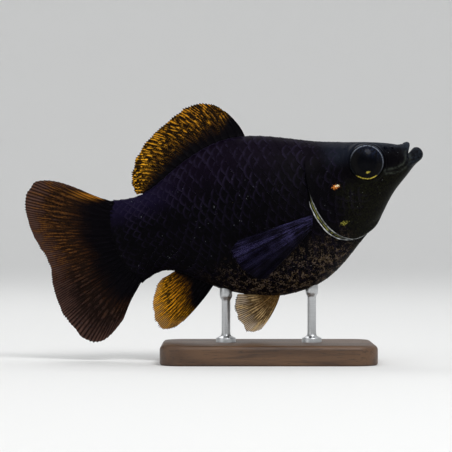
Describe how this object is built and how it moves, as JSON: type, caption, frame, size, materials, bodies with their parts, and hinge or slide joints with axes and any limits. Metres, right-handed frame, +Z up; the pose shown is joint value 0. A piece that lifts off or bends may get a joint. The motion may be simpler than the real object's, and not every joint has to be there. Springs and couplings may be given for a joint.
{
  "type": "black sailfin molly figure on a display stand",
  "caption": "Life-size still figure of a deep-bodied black sailfin molly with spread fins and its head a little raised, held on two steel rods above a flat wooden base.",
  "frame": {"origin": "centre of the bounding box in plan, on the floor under the stand", "axes": "+X towards the snout, +Y towards the fish's left, +Z up"},
  "size_m": [0.1014, 0.038, 0.0657],
  "materials": {
    "skin": "moist scaly black skin with a faint purple sheen",
    "eye": "wet black eye",
    "fin": "thin smoky amber fin membrane with dark rays",
    "paired_fin": "thin dusky fin membrane with pale rays",
    "stand_wood": "satin walnut",
    "stand_steel": "brushed steel rod"
  },
  "bodies": {
    "root": {"head": "skin", "torso": "skin", "tail_stalk": "skin", "eye_left": "eye", "eye_right": "eye", "dorsal_fin": "fin", "anal_fin": "fin", "caudal_fin": "fin", "pectoral_fin_left": "paired_fin", "pectoral_fin_right": "paired_fin", "pelvic_fin_left": "paired_fin", "pelvic_fin_right": "paired_fin", "stand_base": "stand_wood", "stand_rod_front": "stand_steel", "stand_rod_rear": "stand_steel"}
  },
  "joints": []
}
